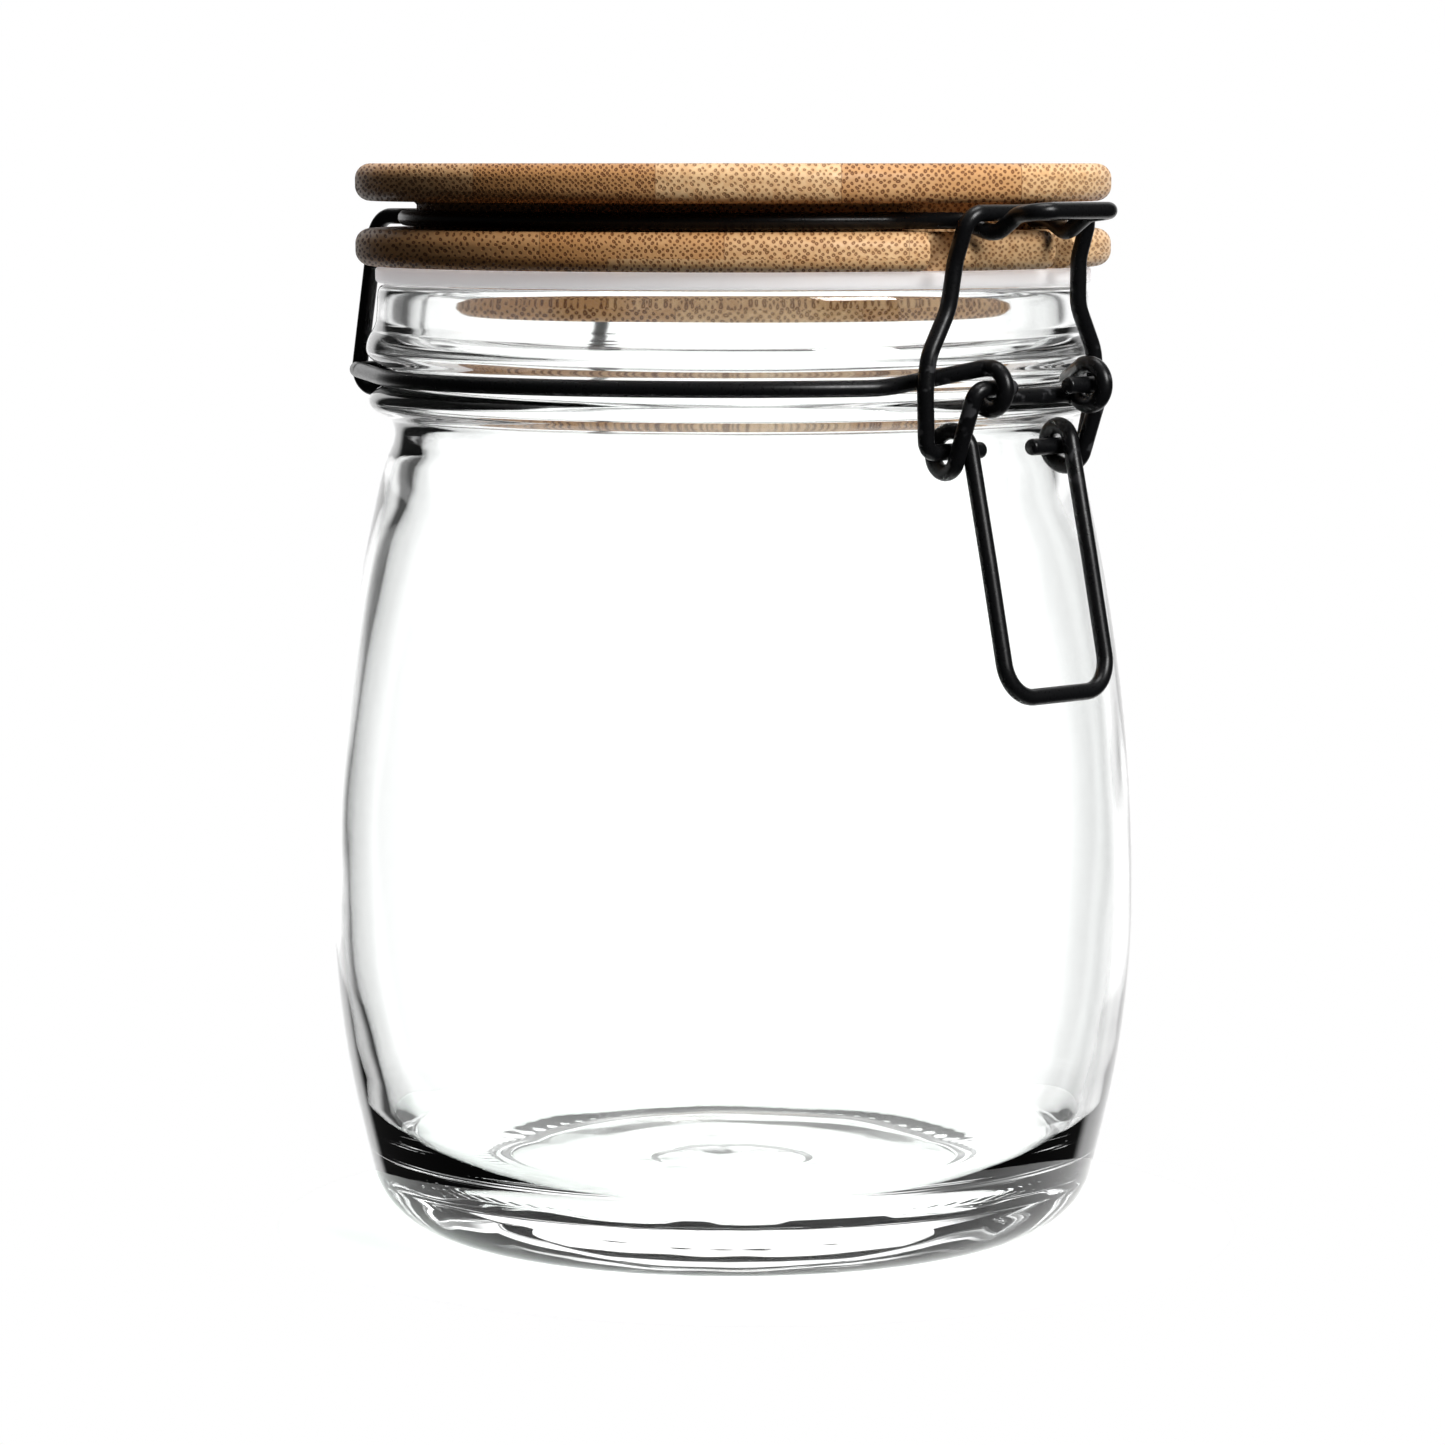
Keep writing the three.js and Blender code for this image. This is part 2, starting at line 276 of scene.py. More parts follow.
def clear_glass(settings):
    """Polished glass that lets lamps through, faintly rippled, and a little less clear at the neck."""
    made, nodes, shader = material("clear_glass", settings.tint)
    shader.inputs["Base Color"].default_value = rgba(settings.tint)
    shader.inputs["Transmission Weight"].default_value = 1
    shader.inputs["IOR"].default_value = 1.5
    body_top, neck_foot, neck_roughness = 0.1, 0.107, 0.05
    height = nodes.add(
        "ShaderNodeSeparateXYZ", {0: nodes.add("ShaderNodeTexCoord").outputs["Object"]}
    ).outputs[2]
    nodes.set(shader.inputs["Roughness"], nodes.ramp(height, body_top, neck_foot, 0.0, neck_roughness))
    ripple = nodes.noise((60, 60, 26), detail=1.5)
    bump = nodes.add(
        "ShaderNodeBump", {"Height": ripple.outputs[0], "Strength": 0.12, "Distance": 0.0006}
    )
    nodes.set(shader.inputs["Normal"], bump)
    lamps = nodes.add("ShaderNodeLightPath").outputs["Is Shadow Ray"]
    through = nodes.add("ShaderNodeBsdfTransparent", {"Color": (0.77, 0.79, 0.78, 1)})
    both = nodes.add("ShaderNodeMixShader", {0: lamps, 1: shader.outputs[0], 2: through})
    nodes.set(made.node_tree.nodes["Material Output"].inputs["Surface"], both)
    return made


def bamboo(settings):
    """Laminated bamboo: wide strips in layers, with dark fibre bundles that show as dots on end grain, and
    painted shade that deepens the colour toward one side.
    """
    made, nodes, shader = material("bamboo", settings.pale)
    strip, layer, bundle = 0.023, 0.0068, 0.00102
    layer_start, lane_shift = 0.0346, 0.37
    turn = settings.grain_turn
    swung = nodes.add(
        "ShaderNodeVectorRotate",
        {"Vector": nodes.add("ShaderNodeTexCoord").outputs["Object"], "Angle": turn},
        rotation_type="Z_AXIS",
    )
    across, _, up = nodes.add("ShaderNodeSeparateXYZ", {0: swung}).outputs

    # which layer and which strip
    storey = nodes.math("DIVIDE", nodes.math("SUBTRACT", up, layer_start), layer)
    storey_index = nodes.math("FLOOR", storey)
    shift = nodes.math("MULTIPLY", storey_index, lane_shift)
    lane = nodes.math("ADD", nodes.math("DIVIDE", across, strip), shift)
    which = nodes.add("ShaderNodeCombineXYZ", {0: nodes.math("FLOOR", lane), 1: storey_index, 2: 0.5})
    dice = nodes.add("ShaderNodeTexWhiteNoise", {"Vector": which}, noise_dimensions="3D")
    first, second, third = nodes.add("ShaderNodeSeparateColor", {0: dice.outputs["Color"]}).outputs

    # fibre bundles, which run the whole length of the grain and stand in staggered rows
    closer = nodes.math("DIVIDE", nodes.math("MULTIPLY_ADD", third, 0.4, 0.92), bundle)
    drift = nodes.noise((420, 6, 420), turn).outputs["Color"]
    sway, lift, _ = nodes.add("ShaderNodeSeparateColor", {0: drift}).outputs
    spread = nodes.math("MULTIPLY_ADD", across, closer, sway)
    stacked = nodes.math("MULTIPLY_ADD", up, closer, lift)
    staggered = nodes.add(
        "ShaderNodeCombineXYZ",
        {0: nodes.math("ADD", spread, stacked), 1: nodes.math("SUBTRACT", spread, stacked)},
    )
    dots = nodes.add(
        "ShaderNodeTexVoronoi",
        {"Vector": staggered, "Scale": 1.0, "Randomness": 0.44},
        voronoi_dimensions="2D", feature="F1",
    )
    size = nodes.add("ShaderNodeSeparateColor", {0: dots.outputs["Color"]}).outputs[0]
    patchy = nodes.noise((160, 9, 200), turn).outputs[0]
    height_in_layer = nodes.math("FRACT", storey)
    skin_up = nodes.math("GREATER_THAN", second, 0.5)
    skin = nodes.math(
        "ABSOLUTE", nodes.math("SUBTRACT", height_in_layer, nodes.math("SUBTRACT", 1.0, skin_up))
    )
    crowd = nodes.math("ADD", nodes.math("MULTIPLY", skin, 0.5), nodes.math("MULTIPLY", third, 0.42))
    crowd = nodes.math("ADD", crowd, nodes.math("MULTIPLY", patchy, 0.55))
    reach = nodes.ramp(crowd, 0.25, 1.25, 0.3, 0.42)
    reach = nodes.math("MULTIPLY", reach, nodes.math("MULTIPLY_ADD", size, 0.5, 0.78))
    inner = nodes.math("MULTIPLY", reach, 0.62)
    vessel = nodes.ramp(nodes.math("DIVIDE", dots.outputs["Distance"], reach), 0.1, 0.42, 0.45, 0.0)
    dot = nodes.add(
        "ShaderNodeMapRange",
        {"Value": dots.outputs["Distance"], "From Min": inner, "From Max": reach, "To Min": 1, "To Max": 0},
        interpolation_type="SMOOTHSTEP",
    ).outputs[0]
    halo = nodes.add(
        "ShaderNodeMapRange",
        {"Value": dots.outputs["Distance"], "From Min": reach,
         "From Max": nodes.math("MULTIPLY", reach, 1.7), "To Min": 1, "To Max": 0},
    ).outputs[0]

    # the ground between the bundles: strips of random tone, plus painted shade that deepens the colour toward
    # the lid's -X+Y side, the camera's left
    streaks = nodes.noise((900, 14, 900), turn, 3.0).outputs[0]
    cloud = nodes.noise((45, 12, 90), turn).outputs[0]
    depth = nodes.math("ADD", nodes.math("MULTIPLY", first, 0.5), nodes.math("MULTIPLY", cloud, 0.75))
    # painted shade: the colour deepens steadily across the lid, away from the key light
    depth = nodes.math("MULTIPLY_ADD", across, -5.5, depth)
    pale, deep, fibre = rgba(settings.pale), rgba(settings.deep), rgba(settings.fibre)
    ground = nodes.blend(nodes.ramp(depth, 0.2, 1.05), pale, deep)
    ground = nodes.blend(nodes.math("MULTIPLY", nodes.ramp(streaks, 0.42, 0.66), 0.35), ground, deep)
    ground = nodes.blend(nodes.math("MULTIPLY", halo, 0.32), ground, deep)
    seam = nodes.math("ABSOLUTE", nodes.math("SUBTRACT", nodes.math("FRACT", lane), 0.5))
    glue = nodes.ramp(seam, 0.4945, 0.4985)
    strong = nodes.ramp(depth, 0.2, 0.8, 0.62, 0.94)
    bundled = nodes.math("SUBTRACT", nodes.math("MULTIPLY", dot, strong), vessel)
    colour = nodes.blend(bundled, ground, fibre)
    colour = nodes.blend(nodes.math("MULTIPLY", glue, 0.45), colour, fibre)
    nodes.set(shader.inputs["Base Color"], colour)
    rough = nodes.math("ADD", nodes.math("MULTIPLY", streaks, 0.22), nodes.math("MULTIPLY", dot, 0.2))
    nodes.set(shader.inputs["Roughness"], nodes.math("ADD", rough, 0.38))
    shader.inputs["Specular IOR Level"].default_value = 0.25
    shader.inputs["Coat Weight"].default_value = 0.03
    shader.inputs["Coat Roughness"].default_value = 0.35
    relief = nodes.math("SUBTRACT", nodes.math("MULTIPLY", streaks, 0.35), dot)
    bump = nodes.add("ShaderNodeBump", {"Height": relief, "Strength": 0.55, "Distance": 0.00012})
    nodes.set(shader.inputs["Normal"], bump)
    return made


def silicone():
    """Milky silicone with a moulded, slightly dusty skin, with subsurface scattering and a painted glow: a
    faint emission stands in for light passing through it.
    """
    made, nodes, shader = material("milky_silicone", (0.9, 0.9, 0.9))
    dust = nodes.noise((900, 900, 900))
    shade = nodes.blend(dust.outputs[0], (0.94, 0.94, 0.96, 1), (0.99, 0.99, 0.99, 1))
    nodes.set(shader.inputs["Base Color"], shade)
    nodes.set(shader.inputs["Roughness"], nodes.ramp(dust.outputs[0], 0.3, 0.7, 0.38, 0.55))
    shader.inputs["Subsurface Weight"].default_value = 1
    shader.inputs["Subsurface Radius"].default_value = (0.012, 0.012, 0.012)
    shader.inputs["Subsurface Scale"].default_value = 1
    shader.inputs["IOR"].default_value = 1.42
    # painted glow: a faint white emission that stands in for light scattered through the seal from the bright
    # background
    shader.inputs["Emission Color"].default_value = (0.97, 0.96, 1, 1)
    shader.inputs["Emission Strength"].default_value = 0.3
    bump = nodes.add("ShaderNodeBump", {"Height": dust.outputs[0], "Strength": 0.2, "Distance": 0.00004})
    nodes.set(shader.inputs["Normal"], bump)
    return made


def powder_coat(settings):
    """Satin black powder coat: a fine orange peel, and dull scuffs where wires rub."""
    made, nodes, shader = material("black_powder_coat", settings.coat)
    peel = nodes.noise((2600, 2600, 2600)).outputs[0]
    lumps = nodes.noise((420, 420, 420), detail=3.0).outputs[0]
    where = nodes.add("ShaderNodeTexCoord").outputs["Object"]
    rubbed = None
    for rho, z in (EYE, COILS, BACK_BAR):
        middle = (0, AXIS_Y - rho * MM, z * MM)
        gap = nodes.add("ShaderNodeVectorMath", {0: where, 1: middle}, operation="SUBTRACT")
        flat = nodes.add("ShaderNodeVectorMath", {0: gap, 1: (0, 1, 1)}, operation="MULTIPLY")
        away = nodes.add("ShaderNodeVectorMath", {0: flat}, operation="LENGTH").outputs["Value"]
        near = nodes.ramp(away, 0.0035, 0.0075, 1.0, 0.0)
        rubbed = near if rubbed is None else nodes.math("MAXIMUM", rubbed, near)
    scuff = nodes.math("MULTIPLY", nodes.ramp(lumps, 0.6, 0.68), rubbed)
    dull = (0.03, 0.03, 0.032, 1)
    nodes.set(shader.inputs["Base Color"], nodes.blend(scuff, rgba(settings.coat), dull))
    satin = nodes.ramp(peel, 0.3, 0.7, 0.27, 0.36)
    nodes.set(shader.inputs["Roughness"], nodes.math("MULTIPLY_ADD", scuff, 0.25, satin))
    shader.inputs["Specular IOR Level"].default_value = 0.22
    height = nodes.math("MULTIPLY_ADD", lumps, 0.5, nodes.math("MULTIPLY", peel, 0.35))
    bump = nodes.add("ShaderNodeBump", {"Height": height, "Strength": 0.35, "Distance": 0.00006})
    nodes.set(shader.inputs["Normal"], bump)
    return made


def pale_floor():
    """A matt, almost white table."""
    made, nodes, shader = material("pale_floor", (0.9, 0.9, 0.9))
    fine = nodes.noise((40, 40, 40))
    shade = nodes.blend(fine.outputs[0], (0.93, 0.93, 0.93, 1), (0.95, 0.95, 0.95, 1))
    nodes.set(shader.inputs["Base Color"], shade)
    shader.inputs["Roughness"].default_value = 0.9
    shader.inputs["Specular IOR Level"].default_value = 0.1
    return made


# ---- turned shapes -------------------------------------------------------------------------------


def arc(centre, radius, start, end, steps):
    """Points (radius, z) on an arc; angles in degrees, both ends included."""
    angles = [math.radians(start + (end - start) * i / steps) for i in range(steps + 1)]
    return [(centre[0] + radius * math.cos(a), centre[1] + radius * math.sin(a)) for a in angles]


def rise(dz, radius):
    """The angle at which an arc of this radius stands dz over its centre."""
    return math.degrees(math.asin(dz / radius))


def flowing(points, steps):
    """A smooth curve through the points, with this many steps between each two."""
    out = []
    for i in range(len(points) - 1):
        ends = [points[max(i - 1, 0)], points[i], points[i + 1], points[min(i + 2, len(points) - 1)]]
        a, b, c, d = (Vector(p) for p in ends)
        span = max((c - b).length, 1e-6)
        go = (c - a) * span / max((c - b).length + (b - a).length, 1e-6)
        come = (d - b) * span / max((d - c).length + (c - b).length, 1e-6)
        for k in range(steps):
            t = k / steps
            h = (2 * t**3 - 3 * t**2 + 1, t**3 - 2 * t**2 + t, 3 * t**2 - 2 * t**3, t**3 - t**2)
            out.append(tuple(h[0] * b + h[1] * go + h[2] * c + h[3] * come))
    out.append(tuple(points[-1]))
    return out


def turned(name, outline, angles, shape=None):
    """A mesh turned round the jar's axis from a closed outline of (radius, z) in millimetres.

    The outline runs anticlockwise. shape(radius, z, angle, index) may move a point. Angles are in
    radians from the front, toward +X. A radius of zero becomes one point on the axis.
    """
    mesh = bmesh.new()
    rows = []
    for index, (radius, z) in enumerate(outline):
        if radius < 1e-6:
            rows.append([mesh.verts.new((0, AXIS_Y, z * MM))] * len(angles))
            continue
        row = []
        for angle in angles:
            r, h = shape(radius, z, angle, index) if shape else (radius, z)
            row.append(mesh.verts.new((r * math.sin(angle) * MM, AXIS_Y - r * math.cos(angle) * MM, h * MM)))
        rows.append(row)
    count = len(angles)
    for here, above in zip(rows, rows[1:] + rows[:1]):
        for i in range(count):
            j = (i + 1) % count
            corners = list(dict.fromkeys([here[i], here[j], above[j], above[i]]))
            if len(corners) > 2:
                mesh.faces.new(corners)
    bmesh.ops.remove_doubles(mesh, verts=mesh.verts, dist=1e-6)
    bmesh.ops.dissolve_degenerate(mesh, edges=mesh.edges, dist=1e-7)
    bmesh.ops.recalc_face_normals(mesh, faces=mesh.faces)
    return finished(name, mesh)


def finished(name, mesh, crease=50):
    """The bmesh as an object at the origin, smooth but for its real edges."""
    data = bpy.data.meshes.new(name)
    mesh.to_mesh(data)
    mesh.free()
    data.shade_smooth()
    data.set_sharp_from_angle(angle=math.radians(crease))
    piece = bpy.data.objects.new(name, data)
    bpy.context.scene.collection.objects.link(piece)
    return piece


def fit(piece, node, body, finish):
    """A finished piece takes its material, its body and the CAD node that it stands for."""
    piece.data.materials.clear()
    piece.data.materials.append(finish)
    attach(piece, body)
    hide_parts(node)
    return piece


def even_angles(columns):
    """Angles all the way round, in radians."""
    return [2 * math.pi * i / columns for i in range(columns)]


# ---- bent wire -----------------------------------------------------------------------------------


def at(s, rho, z):
    """A point in millimetres: s to the right, rho from the jar's axis toward the latch, z up."""
    return Vector((s, AXIS_Y / MM - rho, z))


def bent(corners):
    """Points of a polyline whose corners are bent. Each corner is (point, radius)."""
    points = []
    for i, (corner, radius) in enumerate(corners):
        if not radius or i in (0, len(corners) - 1):
            points.append(corner)
            continue
        back = (corners[i - 1][0] - corner).normalized()
        ahead = (corners[i + 1][0] - corner).normalized()
        turn = math.pi - back.angle(ahead)
        set_back = radius * math.tan(turn / 2)
        centre = corner + (back + ahead).normalized() * math.hypot(radius, set_back)
        start = corner + back * set_back - centre
        axis = back.cross(ahead).normalized()
        steps = max(2, round(math.degrees(turn) / BEND_STEP))
        for k in range(steps + 1):
            points.append(Matrix.Rotation(-turn * k / steps, 3, axis) @ start + centre)
    return points


def coil(centre, start, end, s_from, s_to):
    """Points round a coil about an axis along X, shifting sideways as it goes; angles in degrees."""
    steps = round(abs(end - start) / BEND_STEP)
    points = []
    for i in range(steps + 1):
        angle = math.radians(start + (end - start) * i / steps)
        rho = centre[0] + COIL * math.cos(angle)
        points.append(at(s_from + (s_to - s_from) * i / steps, rho, centre[1] + COIL * math.sin(angle)))
    return points


def ring(radius, z, start, end):
    """Points round the jar's axis; angles in degrees from the front, toward +X."""
    steps = round((end - start) / RING_STEP)
    angles = [math.radians(start + (end - start) * i / steps) for i in range(steps + 1)]
    return [at(radius * math.sin(a), radius * math.cos(a), z) for a in angles]


def tangent(point, centre, side):
    """The angle round a coil at which a straight wire from or to the point touches it, in degrees."""
    d_rho, d_z = point[0] - centre[0], point[1] - centre[1]
    opening = math.acos(COIL / math.hypot(d_rho, d_z))
    return math.degrees(math.atan2(d_z, d_rho) + side * opening)


def both_sides(half):
    """The whole wire from its half on the +X side, which starts on the plane of symmetry."""
    mirrored = [Vector((-p.x, p.y, p.z)) for p in reversed(half)]
    return mirrored[:-1] + half


def wire_tree():
    """Geometry nodes that sweep round wire along an edge path: rounded ends, closed and smooth."""
    tree = bpy.data.node_groups.new("Bent wire", "GeometryNodeTree")
    face = tree.interface
    face.new_socket("Geometry", in_out="INPUT", socket_type="NodeSocketGeometry")
    face.new_socket("Radius", in_out="INPUT", socket_type="NodeSocketFloat").default_value = MM
    face.new_socket("Sides", in_out="INPUT", socket_type="NodeSocketInt").default_value = 16
    face.new_socket("Coat", in_out="INPUT", socket_type="NodeSocketMaterial")
    face.new_socket("Geometry", in_out="OUTPUT", socket_type="NodeSocketGeometry")
    nodes = Nodes(tree)
    given = nodes.add("NodeGroupInput").outputs
    path = nodes.add("GeometryNodeMeshToCurve", {"Mesh": given["Geometry"]})
    swell = nodes.add("GeometryNodeInputNamedAttribute", {"Name": "swell"}, data_type="FLOAT")
    section = nodes.add(
        "GeometryNodeCurvePrimitiveCircle", {"Resolution": given["Sides"], "Radius": given["Radius"]}
    )
    swept = nodes.add(
        "GeometryNodeCurveToMesh",
        {"Curve": path, "Profile Curve": section.outputs[0], "Scale": swell.outputs[0], "Fill Caps": True},
    )
    smooth = nodes.add("GeometryNodeSetShadeSmooth", {"Geometry": swept})
    real = nodes.add("GeometryNodeRealizeInstances", {"Geometry": smooth})
    coated = nodes.add("GeometryNodeSetMaterial", {"Geometry": real, "Material": given["Coat"]})
    nodes.add("NodeGroupOutput", {"Geometry": coated})
    return tree


def wire(name, points, settings, finish):
    """A piece of wire along the points, in millimetres, with slightly rounded cut ends."""
    rounding = ((0.0, 0.72), (0.1, 0.88), (0.26, 0.97), (0.45, 1.0))
    first = (points[1] - points[0]).normalized()
    last = (points[-2] - points[-1]).normalized()
    head = [(points[0] + first * d, size) for d, size in rounding]
    tail = [(points[-1] + last * d, size) for d, size in reversed(rounding)]
    path = head + [(p, 1.0) for p in points[1:-1]] + tail
    data = bpy.data.meshes.new(name + "_path")
    data.from_pydata([p * MM for p, _ in path], [(i, i + 1) for i in range(len(path) - 1)], [])
    swell = data.attributes.new("swell", "FLOAT", "POINT")
    swell.data.foreach_set("value", [size for _, size in path])
    line = bpy.data.objects.new(name + "_path", data)
    bpy.context.scene.collection.objects.link(line)
    tree = bpy.data.node_groups.get("Bent wire") or wire_tree()
    sweep = line.modifiers.new("Bent wire", "NODES")
    sweep.node_group = tree
    names = {item.name: item.identifier for item in tree.interface.items_tree if item.in_out == "INPUT"}
    sweep[names["Radius"]] = settings.radius
    sweep[names["Sides"]] = settings.sides
    sweep[names["Coat"]] = finish
    evaluated = line.evaluated_get(bpy.context.evaluated_depsgraph_get())
    made = bpy.data.meshes.new_from_object(evaluated)
    bpy.data.objects.remove(line)
    mesh = bmesh.new()
    mesh.from_mesh(made)
    bmesh.ops.remove_doubles(mesh, verts=mesh.verts, dist=1e-7)
    bmesh.ops.recalc_face_normals(mesh, faces=mesh.faces)
    bpy.data.meshes.remove(made)
    return finished(name, mesh, 60)


# ---- the pieces ----------------------------------------------------------------------------------


def jar_outside():
    """The outer skin from the foot ring up to the rim."""
    lower = (BODY_RADIUS - LOWER_BARREL, WIDEST_Z)
    upper = (BODY_RADIUS - UPPER_BARREL, WIDEST_Z)
    heel_up = 16.6
    keys = [
        *arc((FOOT_OUTER, HEEL), HEEL, -84, -16, 9),
        *arc(lower, LOWER_BARREL, rise(heel_up - WIDEST_Z, LOWER_BARREL), 0, 7),
        *arc(upper, UPPER_BARREL, 0, rise(SHOULDER_Z - WIDEST_Z, UPPER_BARREL), 8)[1:],
        (45.25, 104.6), (45.0, 106.2), (45.4, 107.6), (46.9, 108.6), (48.1, 109.4), (48.4, 110.4),
        (47.9, 111.4), (46.4, 112.3), (45.35, 113), (45.15, 113.6), (45.35, 114.2), (46.5, 114.9),
        (47.9, 115.7), (48.6, 116.6), (48.65, 117.6), (48.3, 118.8), (47.7, 119.8), (47.35, 120.8),
        (47.2, 122.6), (47.1, 124.5), (46.8, 125.3), (46.1, RIM_Z),
    ]
    return flowing(keys, 3)


def jar_inside():
    """The inner skin from the rim down to the middle of the floor; the belly is blown thinnest."""
    thinnest_z, thinning = 52, 42

    def bellied(z):
        """The inner wall's point at this height, where the wall thickens away from the middle."""
        barrel = LOWER_BARREL if z < WIDEST_Z else UPPER_BARREL
        outer = BODY_RADIUS - barrel + math.sqrt(barrel**2 - (z - WIDEST_Z) ** 2)
        away = (z - thinnest_z) / thinning
        return outer - THIN_WALL - (WALL - THIN_WALL) * away**2, z

    keys = [
        (43.9, RIM_Z), (43.4, 125.4), (43.2, 124.6), (43.2, 121.8), (43.5, 119.9), (44.1, 118.7),
        (44.6, 117.9), (44.5, 117.1), (43.6, 116.4), (42.5, 115.7), (41.9, 115), (41.8, 114.1),
        (42.1, 112.9), (43.1, 112.0), (44.1, 111.2), (44.4, 110.4), (44.0, 109.7), (43.0, 108.8),
        (42.1, 107.7), (41.7, 106.2), (41.8, 104), (42.4, 101),
        *(bellied(z) for z in (94, 87, 79, 70, 61, 52, 43, 34, 26, 20)),
        (47, 15), (44.6, 11.2), (41.8, 9), (38, 7.7), (33.5, 7.15), (26, FLOOR_Z), (12, FLOOR_Z + 0.25),
    ]
    return [*flowing(keys, 3), (0, FLOOR_Z + 0.3)]


def punt():
    """The recess under the base, from its middle out to the foot ring, with the mould's two steps."""
    keys = [
        (9.2, 2.3), (10.2, 2.25), (10.8, 1.75), (11.6, 1.7), (20, 1.65), (29.5, 1.45), (31.2, 1.3),
        (32.0, 0.75), (33.0, 0.55), (FOOT_INNER, 0.25), (34.2, 0.05),
    ]
    return [(0, 2.45), (4.6, 2.4), *flowing(keys, 3), (35.2, 0), (36.4, 0), (37.6, 0)]


def make_jar(settings):
    """The jar, with its blown inner wall and the knurls under its foot ring."""
    outside, inside, under = jar_outside(), jar_inside(), punt()
    outline = [*under, *outside, *inside]
    inner_from = len(under) + len(outside)
    knurls, knurl_depth = 80, 0.18

    def blown(radius, z, angle, index):
        """The inner wall wanders a little, and the foot ring is knurled."""
        if index >= inner_from:
            spot = Vector((math.sin(angle) * 1.3, math.cos(angle) * 1.3, z / 38))
            fade = min(1, max(0, (RIM_Z - 3 - z) / 12))
            wander = noise.noise(spot) + 0.4 * noise.noise(spot * 2.7)
            swirl = 0 if z > 12 else settings.waviness / MM * math.sin(radius * 0.8 + 2 * wander)
            return radius - settings.waviness / MM * wander * fade * min(1, radius / 20), z + swirl
        if 33.4 < radius < 37.2 and z < 1:
            fade = math.sin(math.pi * (radius - 33.4) / 3.8)
            return radius, z + knurl_depth * fade * (0.5 - 0.5 * math.cos(knurls * angle))
        return radius, z

    piece = turned("glass_body", outline, even_angles(settings.columns), blown)
    return fit(piece, "glass_jar", "jar", clear_glass(settings))


def lid_outline():
    """The lid's outline: the plug, the lower plate, the wire's groove, and the upper plate."""
    upper, lower_top, lower = UPPER_PLATE_Z, LOWER_TOP_Z, LOWER_PLATE_Z
    flat = LID_RADIUS - PLATE_EDGE
    fillet = 2.5
    return [
        (0, PLUG_BOTTOM_Z), (18, PLUG_BOTTOM_Z),
        *arc((PLUG - fillet, PLUG_BOTTOM_Z + fillet), fillet, -90, 0, 10),
        (PLUG, lower - 0.5), (PLUG + 0.5, lower),
        (44, lower),
        *arc((flat, lower + PLATE_EDGE), PLATE_EDGE, -90, 0, 12),
        *arc((flat, lower_top - PLATE_EDGE), PLATE_EDGE, 0, 90, 12),
        (44, lower_top), (LID_CORE + 0.5, lower_top), (LID_CORE, lower_top + 0.5),
        (LID_CORE, upper - 0.5), (LID_CORE + 0.5, upper),
        *arc((flat, upper + PLATE_EDGE), PLATE_EDGE, -90, 0, 12),
        *arc((flat, LID_TOP_Z - PLATE_EDGE), PLATE_EDGE, 0, 90, 12),
        (30, LID_TOP_Z), (0, LID_TOP_Z),
    ]


def lid_angles():
    """Angles round the lid, close together across the two notches."""
    coarse, fine = 1.5, 0.15
    notch_from, notch_to = 8.25, 17.25
    degrees = []
    angle = -180.0
    while angle < 180 - 1e-6:
        degrees.append(angle)
        angle = round(angle + (fine if notch_from <= abs(angle + 1e-6) < notch_to else coarse), 4)
    return [math.radians(a) for a in degrees]


def make_lid(settings):
    """The bamboo lid, whose lower plate has two notches that clear the bail's sides."""
    lower_top, lower = LOWER_TOP_Z, LOWER_PLATE_Z
    shoulder, softness = 0.9, 0.8

    def notched(radius, z, angle, _index):
        """Cuts the two round-bottomed notches in the lower plate, with soft edges all round."""
        if not lower - 0.01 < z < lower_top + 0.01 or math.cos(angle) < 0.9:
            return radius, z
        off = abs(abs(radius * math.sin(angle)) - NOTCH_S)
        if off > NOTCH_HALF + shoulder:
            return radius, z
        seat = NOTCH_FLOOR + NOTCH_HALF
        if off < NOTCH_HALF:
            limit = seat - math.sqrt(NOTCH_HALF**2 - off**2)
        else:
            t = (off - NOTCH_HALF) / shoulder
            limit = seat + (LID_RADIUS + 0.6 - seat) * math.sqrt(1 - (1 - t) ** 2)
        edge = min(z - lower, lower_top - z)
        if edge < softness:
            limit -= softness - math.sqrt(max(0, softness**2 - (softness - edge) ** 2))
        return min(radius, max(limit / math.cos(angle), LID_CORE)), z

    piece = turned("lid_block", lid_outline(), lid_angles(), notched)
    return fit(piece, "bamboo_lid", "lid", bamboo(settings))


def make_seal():
    """The seal ring between the jar's rim and the lower plate."""
    inner, outer = 38.3, (SEAL_HIGH.x - SEAL_LOW.x) / 2 / MM
    low, high = SEAL_LOW.z / MM, SEAL_HIGH.z / MM
    soft = 0.55
    outline = [
        (inner, low + 0.3), (inner + 0.3, low), (42, low),
        *arc((outer - soft, low + soft), soft, -90, 0, 6),
        *arc((outer - soft, high - soft), soft, 0, 90, 6),
        (42, high), (inner + 0.3, high), (inner, high - 0.3),
    ]
    piece = turned("seal", outline, even_angles(192))
    return fit(piece, "seal_ring", "lid", silicone())


